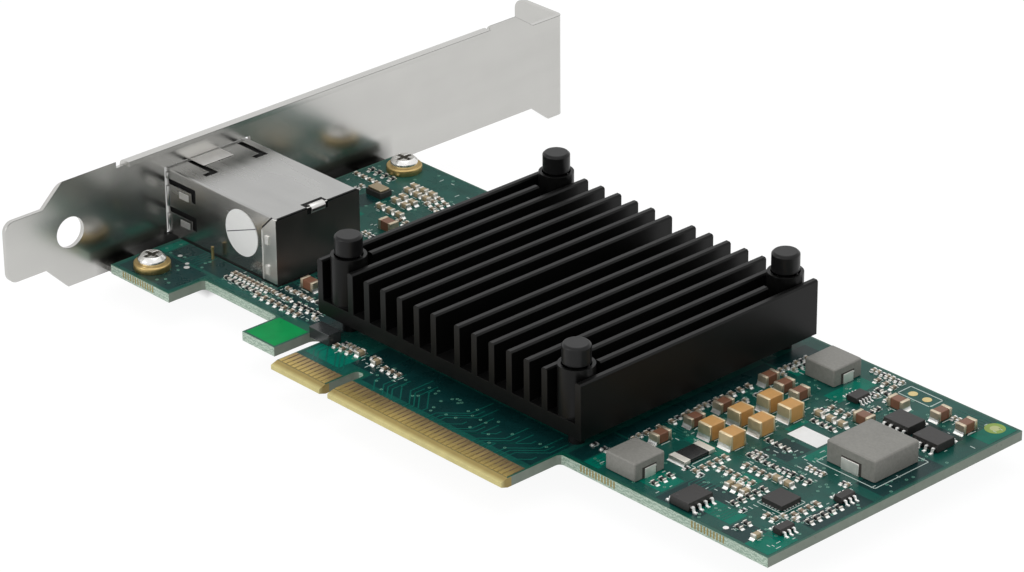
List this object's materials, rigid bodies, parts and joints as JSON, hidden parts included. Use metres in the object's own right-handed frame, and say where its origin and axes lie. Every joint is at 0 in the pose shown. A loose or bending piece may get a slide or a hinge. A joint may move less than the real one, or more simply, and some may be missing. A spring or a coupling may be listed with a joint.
{
  "type": "network interface card",
  "caption": "Expansion card with edge connector, full-height bracket, shielded network jack and finned black heat sink over the controller.",
  "frame": {"origin": "on the key slot's centre line, at the edge connector's tip and on the board's underside", "axes": "+X along the card away from the bracket, +Y from the edge connector to the card's top edge, +Z out of the component side"},
  "size_m": [0.1508, 0.12, 0.022],
  "materials": {
    "solder_mask_board": "dark teal-green glossy solder mask over glass-fibre board",
    "contact_gold": "bright gold plate",
    "bracket_nickel": "smooth bright nickel plate",
    "screw_nickel": "bright plated steel",
    "washer_yellow_zinc": "yellow passivated zinc",
    "black_anodised": "satin black anodised aluminium",
    "pin_plastic": "moulded dark-grey plastic",
    "spring_steel": "drawn spring wire",
    "thermal_compound": "soft grey pad",
    "package_laminate": "green laminate",
    "package_lid": "nickel-plated copper",
    "solder": "bright solder",
    "jack_metal": "satin tin-plated sheet",
    "jack_plastic": "black moulded plastic",
    "light_lens": "clear moulded lens",
    "ferrite": "dark ferrite",
    "tinned_pin": "tinned wire",
    "sticker_paper": "matt white label",
    "inductor_grey": "pressed grey iron powder",
    "tinned_terminal": "tinned strip",
    "capacitor_tan": "fired tan ceramic",
    "capacitor_brown": "fired brown ceramic",
    "capacitor_pale": "fired pale tan ceramic",
    "resistor_black": "glazed black",
    "chip_plating": "matt tin plate",
    "chip_black": "black moulding compound",
    "lead_tin": "tinned leads",
    "crystal_ceramic": "dark ceramic",
    "crystal_metal": "plated lid"
  },
  "bodies": {
    "root": {"bracket_screws": "screw_nickel", "bypass_capacitor_bodies": "capacitor_brown", "bypass_capacitor_ends": "chip_plating", "circuit_board": "solder_mask_board", "clock_oscillator": "chip_black", "controller_lid": "package_lid", "controller_solder_balls": "solder", "controller_substrate": "package_laminate", "crystal_base": "crystal_ceramic", "crystal_lid": "crystal_metal", "edge_contacts": "contact_gold", "filter_capacitor_bodies": "capacitor_pale", "filter_capacitor_ends": "chip_plating", "ground_pin": "contact_gold", "heat_sink": "black_anodised", "input_capacitor_bodies": "capacitor_brown", "input_capacitor_ends": "chip_plating", "jack_housing": "jack_plastic", "jack_indicator_lights": "light_lens", "jack_isolation_coils": "ferrite", "jack_magnetics_tray": "jack_plastic", "jack_plug_contacts": "contact_gold", "jack_rear_cover": "jack_metal", "jack_shield": "jack_metal", "jack_signal_pins": "tinned_pin", "large_inductor_core": "inductor_grey", "large_inductor_terminals": "tinned_terminal", "logic_chip_bodies": "chip_black", "logic_chip_leads": "lead_tin", "mounting_bracket": "bracket_nickel", "output_capacitor_bodies": "capacitor_tan", "output_capacitor_ends": "chip_plating", "pin_springs": "spring_steel", "power_transistor_bodies": "chip_black", "power_transistor_leads": "lead_tin", "push_pins": "pin_plastic", "regulator_body": "chip_black", "regulator_pads": "lead_tin", "round_sticker": "sticker_paper", "screw_washers": "washer_yellow_zinc", "sense_resistor_bodies": "resistor_black", "sense_resistor_ends": "chip_plating", "small_inductor_cores": "inductor_grey", "small_inductor_terminals": "tinned_terminal", "small_resistor_bodies": "resistor_black", "small_resistor_ends": "chip_plating", "thermal_pad": "thermal_compound"}
  },
  "joints": []
}
